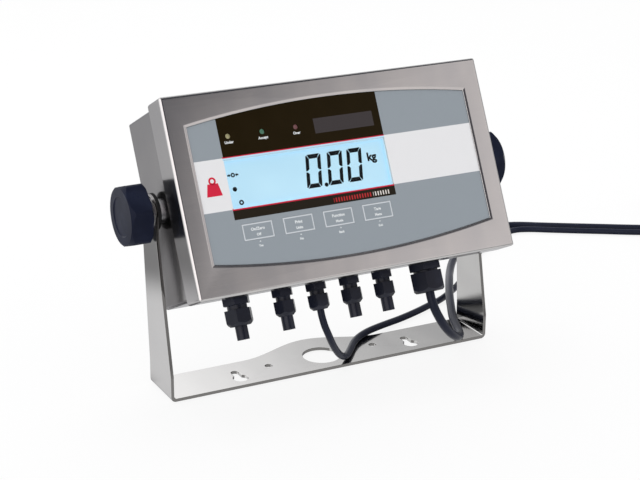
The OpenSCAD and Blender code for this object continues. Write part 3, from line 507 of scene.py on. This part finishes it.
case_steel = cover_finish()
shell_steel = back_finish()
bracket_steel = bracket_finish()
plated = turned_finish("plated steel", (0.66, 0.66, 0.67), (0.50, 0.50, 0.52), 0.22)
brass = turned_finish("brass", (0.76, 0.60, 0.28), (0.62, 0.46, 0.20), 0.24)
bezel = turned_finish("bezel steel", (0.55, 0.56, 0.57), (0.45, 0.46, 0.47), 0.32)
dome = turned_finish("dome steel", (0.62, 0.62, 0.63), (0.52, 0.52, 0.54), 0.28)
connector_metal = turned_finish("connector metal", (0.63, 0.63, 0.64), (0.50, 0.50, 0.51), 0.25)


# Plastic, rubber and boards

def moulded_finish(name, colour, worn, rough, grain_scale=1.2, shine=0.28):
    """Moulded plastic: a fine spark-eroded grain, and slightly lighter where hands rub it"""
    made = Finish(name, IOR=1.5, Specular_IOR_Level=shine)
    room = made.room()
    grain = made.grain(room, grain_scale, detail=3, roughness=0.6)
    rub = made.grain(room, 0.06)
    made.set(
        Base_Color=made.blend(rub.ramp(0.35, 0.75) * 0.7 + grain * 0.3, colour, worn),
        Roughness=rough + grain * 0.1 - rub.ramp(0.45, 0.75) * 0.06,
    )
    return made.bump(grain, 0.00004, 0.4)


def board_finish():
    """Solder mask over copper tracks"""
    made = Finish("board green")
    x, y, z = made.case()
    tracks = made.noise(x * 0.35, 0, z * 0.06, detail=1).within(0.5, 0.56)
    weave = made.grain((x, y, z), 1.5)
    made.set(
        Base_Color=made.blend(tracks * 0.7 + weave * 0.3, rgb(16, 74, 44), rgb(40, 120, 74)),
        Roughness=0.34 + weave * 0.12,
    )
    return made.bump(tracks * 0.6 + weave * 0.2, 0.00004, 0.5)


knob_plastic = moulded_finish("knob plastic", rgb(22, 26, 42), rgb(33, 38, 56), 0.28, shine=0.07)
gland_plastic = moulded_finish("gland plastic", rgb(20, 23, 36), rgb(32, 36, 52), 0.3)
rubber = moulded_finish("seal rubber", rgb(20, 20, 22), rgb(34, 34, 36), 0.62, 2)
plug_plastic = moulded_finish("plug plastic", rgb(22, 23, 30), rgb(36, 38, 46), 0.4)
tie_plastic = moulded_finish("tie wrap", rgb(200, 203, 206), rgb(222, 224, 226), 0.42)
block_plastic = moulded_finish("terminal green", rgb(30, 120, 66), rgb(44, 140, 80), 0.4)
chip_plastic = moulded_finish("chip black", rgb(24, 24, 26), rgb(40, 40, 44), 0.5, 2.5)
tape = moulded_finish("winding tape", rgb(206, 160, 40), rgb(226, 182, 66), 0.45)
sleeve = moulded_finish("capacitor sleeve", rgb(30, 40, 74), rgb(44, 56, 96), 0.34)
ribbon = moulded_finish("ribbon grey", rgb(128, 132, 138), rgb(150, 154, 160), 0.48)
lead_sheath = moulded_finish("lead sheath", rgb(60, 62, 70), rgb(84, 86, 92), 0.5)
guide = moulded_finish("light guide", rgb(214, 220, 224), rgb(232, 238, 240), 0.3)
keypad_film = moulded_finish("keypad film", rgb(214, 216, 210), rgb(226, 228, 224), 0.4)
segment_black = moulded_finish("segment black", rgb(6, 6, 10), rgb(12, 12, 16), 0.5, shine=0.02)
light_print = moulded_finish("light print", LIGHT, rgb(232, 236, 238), 0.45)
red_print = moulded_finish("red print", RED, rgb(222, 34, 66), 0.4)
board = board_finish()


# Printed label, keys, windows and lamps

def printed_film(name):
    """Satin polyester film with a fine texture"""
    made = Finish(name, IOR=1.5, Specular_IOR_Level=0.25)
    x, _, z = made.case()
    texture = made.noise(x * 2.4, 0, z * 2.4)
    made.set(Roughness=0.38 + texture * 0.1)
    made.bump(texture, 0.00002, 0.3)
    return made, x, z, texture


def overlay_finish():
    """Grey label with a white band, a dark strip under the window, red lines and rows of plain bars"""
    made, x, z, texture = printed_film("overlay print")
    over_window = x.within(WINDOW_X[0] - 0.8, WINDOW_X[1] + 0.2)
    colour = made.blend(texture, GREY, PALE_GREY)
    colour = made.blend(z.within(-13.3, 24.6), colour, WHITE)
    for low, high, ink in (
        (-21, -13.6, DARK), (-14.1, -12.6, RED), (22.8, 24.3, PALE_BLUE), (24.3, 25.4, RED),
    ):
        colour = made.blend(over_window * z.within(low, high), colour, ink)
    bars = (x.math("PINGPONG", 1.1) > 0.62) * z.within(-19.6, -16.4)
    for start, end, ink in ((-12, 20, rgb(190, 38, 44)), (21, 35.5, rgb(226, 220, 214))):
        colour = made.blend(bars * x.within(start, end), colour, ink)
    return made.set(Base_Color=colour)


def key_finish():
    """A key in the label's grey, with a pale frame round it"""
    made, x, z, texture = printed_film("key print")
    frame_w = 0.9
    from_middle = abs((x - KEY_X[0]).math("WRAP", -KEY_PITCH / 2, KEY_PITCH / 2))
    on_side = from_middle > KEY_W / 2 - frame_w
    on_edge = abs(z - KEY_Z) > KEY_H / 2 - frame_w
    grey = made.blend(texture, GREY, PALE_GREY)
    return made.set(Base_Color=made.blend(on_side.math("MAXIMUM", on_edge), grey, rgb(206, 211, 216)))


def pane_finish():
    """Clear hard-coated window"""
    made = Finish("clear pane", IOR=1.49, Specular_IOR_Level=0.3, Alpha=0.06)
    x, y, z = made.case()
    haze = made.noise(x * 0.05, y, z * 0.05)
    return made.set(
        Base_Color=made.blend(haze, (0.06, 0.08, 0.09), (0.1, 0.12, 0.13)),
        Roughness=0.12 + haze * 0.08,
    )


def smoked_finish():
    """Smoked window: dark print behind it, clear spots over the lamps, a lighter field at the right"""
    made = Finish("smoked pane", IOR=1.49, Specular_IOR_Level=0.08)
    x, y, z = made.case()
    haze = made.noise(x * 0.08, y, z * 0.08)
    spot_r = 1.9
    spots = sum(far_out(x - lamp_x, z - LAMP_Z) < spot_r for lamp_x in LAMP_X)
    field = x.within(-15.6, 33.8) * z.within(33, 44.3)
    colour = made.blend(haze, DARK, rgb(34, 25, 7))
    colour = made.blend(field, colour, rgb(64, 59, 60))
    return made.set(Base_Color=colour, Roughness=0.16 + haze * 0.08, Alpha=1 - spots * 0.8)


def lcd_finish(name):
    """Backlit liquid crystal glass: pale blue, in soft clouds"""
    made = Finish(name, IOR=1.5, Specular_IOR_Level=0.3, Emission_Strength=0.32)
    x, y, z = made.case()
    glow = made.noise(x * 0.02, 0, z * 0.04, detail=1)
    cells = made.noise(x * 5, y, z * 5, detail=1)
    colour = made.blend(glow * 0.8 + cells * 0.2, rgb(172, 214, 236), rgb(198, 236, 252))
    return made.set(Base_Color=colour, Emission_Color=colour, Roughness=0.3 + cells * 0.06)


def lamp_finish():
    """Three lamps by their place: pale yellow, green, dull red"""
    made = Finish("lamp resin", IOR=1.5, Emission_Strength=0.35)
    x, y, z = made.case()
    grain = made.grain((x, y, z), 0.9, detail=1)
    yellow, green, dull_red = rgb(190, 182, 130), rgb(52, 140, 104), rgb(130, 50, 56)
    colour = made.blend(x > (LAMP_X[0] + LAMP_X[1]) / 2, yellow, green)
    colour = made.blend(x > (LAMP_X[1] + LAMP_X[2]) / 2, colour, dull_red)
    colour = made.blend(grain * 0.25, colour, (0.9, 0.9, 0.9))
    return made.set(Base_Color=colour, Emission_Color=colour, Roughness=0.25 + grain * 0.1)


overlay_print = overlay_finish()
key_print = key_finish()
clear_pane = pane_finish()
smoked_pane = smoked_finish()
lcd = lcd_finish("lcd glass")
# Painted light: the strips along the window's walls glow like the lit glass
painted_surround_glow = lcd_finish("surround painted glow")
lamps = lamp_finish()


# Ink on the face, and a painted glow along the window's walls

def in_face(name, outlines, front, thick, finish, body):
    """Flat shapes given as x and z on the face, each as thick as ink or film"""
    mesh = bmesh.new()
    for outline in outlines:
        face = mesh.faces.new([mesh.verts.new((x * MM, front * MM, z * MM)) for x, z in outline])
        face.normal_update()
        if face.normal.y > 0:
            face.normal_flip()
        sunk = bmesh.ops.extrude_face_region(mesh, geom=[face], use_keep_orig=True)
        for item in sunk["geom"]:
            if isinstance(item, bmesh.types.BMVert):
                item.co.y += thick * MM
    bmesh.ops.recalc_face_normals(mesh, faces=mesh.faces)
    on_case(name, finished_mesh(name, mesh), finish, body)


def words(name, lines, front, finish, body, bold):
    """Plain lettering as flat ink: each line is its text, its middle x, its foot z and its height"""
    mesh = bmesh.new()
    for text, x, z, height in lines:
        curve = bpy.data.curves.new(name, "FONT")
        curve.body = text
        curve.size = height / 0.7 * MM
        curve.align_x = "CENTER"
        curve.resolution_u = 3
        curve.offset = bold * MM
        shape = bpy.data.objects.new(name, curve)
        flat = bpy.data.meshes.new_from_object(shape)
        flat.transform(Matrix((
            (1, 0, 0, x * MM), (0, 0, 1, front * MM), (0, 1, 0, z * MM), (0, 0, 0, 1),
        )))
        mesh.from_mesh(flat)
        bpy.data.objects.remove(shape)
        bpy.data.curves.remove(curve)
        bpy.data.meshes.remove(flat)
    bmesh.ops.remove_doubles(mesh, verts=mesh.verts, dist=0.00001)
    for face in mesh.faces:
        face.normal_update()
        if face.normal.y > 0:
            face.normal_flip()
    on_case(name, finished_mesh(name, mesh), finish, body)


def disc(x, z, radius, sides=24):
    """A round shape of flat sides"""
    turn = 2 * math.pi / sides
    return [(x + radius * math.cos(turn * k), z + radius * math.sin(turn * k)) for k in range(sides)]


def hoop(x, z, outer, inner):
    """A ring as a strip of small four-sided shapes"""
    far, close = disc(x, z, outer), disc(x, z, inner)
    return [[far[k - 1], far[k], close[k], close[k - 1]] for k in range(len(far))]


def zero_digit(middle, low, high, width, stroke, gap):
    """Figure 0 of six bars, leaning to the right"""
    half, rise, cut = width / 2, (high - low) / 2, 0.7
    inner = half - stroke
    bars = []
    for side in (-1, 1):
        for end in (-1, 1):
            bar = [
                (half, gap), (half, rise - gap - 0.5), (half - cut, rise - gap),
                (inner, rise - stroke - gap), (inner, stroke / 2 + gap), (half - stroke / 2, gap),
            ]
            bars.append([(side * x, end * z) for x, z in bar])
    for end in (-1, 1):
        wide, narrow = half - cut - gap, inner - gap / 2
        top, under = end * rise, end * (rise - stroke - 0.4)
        bars.append([(-wide, top), (wide, top), (narrow, under), (-narrow, under)])
    lean = math.tan(math.radians(8.5))
    return [[(middle + x + z * lean, (low + high) / 2 + z) for x, z in bar] for bar in bars]


def display():
    """The figures, the point, the three marks at the left and the unit on the glass"""
    shapes = []
    for middle in (-21.6, -3.8, 12.6):
        shapes += zero_digit(middle, low=-6.3, high=18.7, width=12.5, stroke=2.8, gap=0.45)
    shapes.append(disc(-13.6, -5.3, 1.6, sides=12))
    shapes.append(disc(-86.6, 1.6, 1.7))
    shapes += hoop(-83.5, -8.6, 1.9, 0.8)
    shapes += hoop(-86, 12, 1.7, 0.7)
    arrow = ((1.9, 0), (3, 1.4), (3, 0.6), (4.4, 0.6), (4.4, -0.6), (3, -0.6), (3, -1.4))
    for side in (-1, 1):
        shapes.append([(-86 + side * x, 12 + z) for x, z in arrow])
    in_face("display_digits", shapes, GLASS_Y - 0.06, 0.05, segment_black, "housing")
    unit = [("kg", 27.8, 7.6, 6)]
    words("display_unit", unit, GLASS_Y - 0.05, segment_black, "housing", bold=0.36)


def window_lining():
    """Pale blue strips along the four walls of the window's opening, from behind the pane to the glass,
    painted to glow like the lit glass where the walls stand in shade
    """
    wall, play = 0.25, 0.1
    left, right = WINDOW_X[0] + play, WINDOW_X[1] - play
    foot, head = WINDOW_Z[0] + play, WINDOW_Z[1] - play
    front, back = FLOOR_Y + 0.05, GLASS_Y - 0.02
    strips = []
    for x0, x1, z0, z1 in (
        (left, right, foot, foot + wall), (left, right, head - wall, head),
        (left, left + wall, foot + wall, head - wall), (right - wall, right, foot + wall, head - wall),
    ):
        strips.append([(x0, z0), (x1, z0), (x1, z1), (x0, z1)])
    in_face("display_surround", strips, front, back - front, painted_surround_glow, "housing")


def face_words():
    """The words at the lamps and keys, and the arrows from the keys to the words under them"""
    ink = LABEL_Y - 0.03
    over_lamps = [(text, x, 34.6, 1.9) for text, x in zip(("Under", "Accept", "Over"), LAMP_X)]
    words("lamp_words", over_lamps, ink, light_print, "housing", bold=0.1)
    under_keys, arrows = [], []
    for index, (body, upper, lower, below) in enumerate((
        ("zero_key", "On/Zero", "Off", "Yes"),
        ("print_key", "Print", "Units", "No"),
        ("function_key", "Function", "Mode", "Back"),
        ("tare_key", "Tare", "Menu", "Exit"),
    )):
        x = KEY_X[index]
        on_key = [(upper, x, KEY_Z + 0.7, 2.1), (lower, x, KEY_Z - 3.4, 1.8)]
        words(f"key_{index + 1}_words", on_key, ink, light_print, body, bold=0.12)
        under_keys.append((below, x, KEY_Z - 11.6, 1.6))
        arrows.append([(x - 0.7, KEY_Z - 8.1), (x + 0.7, KEY_Z - 8.1), (x, KEY_Z - 7.1)])
    words("under_key_words", under_keys, ink, light_print, "housing", bold=0.1)
    in_face("under_key_arrows", arrows, ink, 0.03, light_print, "housing")


def weight_sign():
    """A plain weight: a body with sloping sides and a ring on top"""
    body = [(-110.4, -1.8), (-98.2, -1.8), (-100.2, 7.4), (-108.4, 7.4)]
    shapes = [body] + hoop(-104.3, 9.3, 2.9, 1.5)
    in_face("weight_sign", shapes, LABEL_Y - 0.04, 0.04, red_print, "housing")


display()
window_lining()
face_words()
weight_sign()


# Finishes and eased edges of the CAD nodes

NODE_FINISHES = {
    case_steel: "front_cover",
    shell_steel: "back_case",
    bracket_steel: "bracket",
    plated: (
        "display_screws board_screws cover_screws calibration_screw washer_left washer_right"
        " stud_left stud_right display_posts board_posts cover_posts pivot_bosses"
    ),
    brass: "earth_stud plug_pins",
    bezel: "lcd_bezel",
    dome: "key_domes",
    connector_metal: "sensor_connector",
    knob_plastic: "knob_left knob_right",
    gland_plastic: "gland_bodies gland_caps gland_locknuts blanking_plugs",
    rubber: "cover_gasket seal_washers friction_washers gland_washers gland_seals",
    plug_plastic: "power_plug",
    tie_plastic: "sensor_tie power_tie",
    block_plastic: "terminal_blocks",
    chip_plastic: "board_chips",
    tape: "transformer",
    sleeve: "supply_capacitors",
    ribbon: "ribbon_cable",
    lead_sheath: "inner_leads",
    guide: "backlight",
    board: "display_board main_board supply_board",
    overlay_print: "overlay",
    key_print: "key_1 key_2 key_3 key_4",
    clear_pane: "display_window",
    smoked_pane: "status_window",
    lcd: "lcd_glass",
    lamps: "status_lamps",
    keypad_film: "keypad_layer",
    cord_finish: "sensor_cable sensor_coil power_cord power_coil",
}
for finish, names in NODE_FINISHES.items():
    for name in names.split():
        slots = nodes[name].data.materials
        if not slots:
            slots.append(finish.material)
        for index in range(len(slots)):
            slots[index] = finish.material


def ease_edges(names, width, steps=2):
    """Rounds the hard edges of CAD nodes, so that they catch the light as real ones do"""
    for name in names.split():
        node = nodes[name]
        for face in node.data.polygons:
            face.use_smooth = True
        weld = node.modifiers.new("weld", "WELD")
        weld.merge_threshold = 0.000002
        edge = node.modifiers.new("edge", "BEVEL")
        edge.width = width * MM
        edge.segments = steps
        edge.limit_method = "ANGLE"
        edge.angle_limit = math.radians(28)
        level = node.modifiers.new("level", "WEIGHTED_NORMAL")
        level.mode = "FACE_AREA"
        level.weight = 100


ease_edges("knob_left knob_right", 1.1, steps=3)
ease_edges("power_plug", 1.2, steps=3)
ease_edges("gland_bodies gland_caps blanking_plugs sensor_connector", 0.4)
ease_edges("front_cover", 0.5)
ease_edges("bracket back_case washer_left washer_right", 0.25)
ease_edges("cover_screws calibration_screw sensor_tie power_tie", 0.25)


# Room

def lay_floor():
    """Pale floor that shows as white but keeps the shadow. Metal sees it darker further out,
    and darker behind the bracket, where a shadow of the object is painted."""
    made = Finish("floor", Roughness=0.7)
    x, y, z = made.room()
    grain = made.noise(x * 0.01, y * 0.01, z)
    made.set(Base_Color=made.blend(grain, (0.80, 0.80, 0.805), (0.82, 0.82, 0.825)))
    camera = made.add("ShaderNodeLightPath", {}, {}, out="Is Camera Ray")
    mirrored = camera.also("Is Glossy Ray")
    seen = camera.math("MAXIMUM", mirrored).math("MAXIMUM", camera.also("Is Transmission Ray"))
    reach = far_out(x, y)
    away = reach.ramp(262, 340, 0, 0.76) - reach.ramp(400, 520, 0, 0.5)
    # Painted shadow: metal sees the floor darker just behind the bracket, as in the object's own shadow
    behind = y.ramp(16, 24) * y.ramp(54, 68, 0.93, 0) * abs(x).ramp(120, 150, 1, 0)
    dim = (away + behind).math("MINIMUM", 0.95)
    lit = made.blend(mirrored * dim, (1, 1, 1), BLACK)
    glow = made.add("ShaderNodeEmission", {}, {"Color": lit, "Strength": 1.0})
    plain = Wire(made, made.shader.outputs[0])
    mixed = made.add("ShaderNodeMixShader", {}, {0: seen * 0.86, 1: plain, 2: glow})
    made.feed(made.tree.nodes["Material Output"].inputs["Surface"], mixed)
    half_m, top_m = 9, -0.0003
    mesh = bmesh.new()
    corners = ((-1, -1), (1, -1), (1, 1), (-1, 1))
    mesh.faces.new([mesh.verts.new((half_m * across, half_m * along, top_m)) for across, along in corners])
    data = bpy.data.meshes.new("floor")
    mesh.to_mesh(data)
    mesh.free()
    data.materials.append(made.material)
    floor = bpy.data.objects.new("floor", data)
    bpy.context.scene.collection.objects.link(floor)


def softbox(name, place, target, size, power):
    """Soft lamp that the metal doesn't mirror"""
    data = bpy.data.lights.new(name, "AREA")
    data.shape = "RECTANGLE"
    data.size, data.size_y = size
    data.energy = power
    lamp = bpy.data.objects.new(name, data)
    lamp.location = place
    lamp.rotation_euler = (Vector(target) - lamp.location).to_track_quat("-Z", "Y").to_euler()
    lamp.visible_glossy = False
    bpy.context.scene.collection.objects.link(lamp)


def light_room():
    """White for the camera and even light on the object. What metal mirrors has a bright left wall,
    a dark front that brightens to the right, a bright rear left and a dark patch overhead."""
    world = bpy.data.worlds.new("studio")
    world.use_nodes = True
    bpy.context.scene.world = world
    made = NodeTree(world.node_tree)
    east, north, up = made.split(made.add("ShaderNodeTexCoord", {}, {}, out="Generated"))
    slant = east - (up - 0.5) * 0.6
    front = slant.ramp(0.28, 0.56, 0.1, 1) - east.ramp(0.62, 0.8) * 0.3
    front = front.math("MAXIMUM", east.ramp(-0.5, -0.15, 1.9, 0))
    rear = east.ramp(0.28, 0.6, 1.45, 0.55)
    level = front + (rear - front) * north.ramp(-0.25, 0.25)
    level = level * (1 - up.ramp(0.67, 0.87, 0, 0.85) * east.ramp(0.1, 0.35))
    daylight = made.blend(north.ramp(-0.4, 0.2), (1, 0.95, 0.945), (1, 1, 1))
    dusk = made.blend(level.math("MINIMUM", 1), (0, 0.005, 0.02), BLACK)
    studio = made.add("ShaderNodeVectorMath", {"operation": "SCALE"}, {0: daylight, "Scale": level})
    studio = made.add("ShaderNodeVectorMath", {"operation": "ADD"}, {0: studio, 1: dusk})
    camera = made.add("ShaderNodeLightPath", {}, {}, out="Is Camera Ray")
    studio = made.blend(camera.also("Is Diffuse Ray"), studio, (0.95, 0.95, 0.95))
    sky = made.tree.nodes["Background"]
    made.feed(sky.inputs["Color"], made.blend(camera, studio, (1, 1, 1)))
    made.feed(sky.inputs["Strength"], 1.0)


bpy.context.scene.view_settings.view_transform = "Standard"
lay_floor()
light_room()
softbox("overhead", place=(0.1, 0.7, 1.5), target=(0, 0, 0.1), size=(1.3, 1.0), power=9)
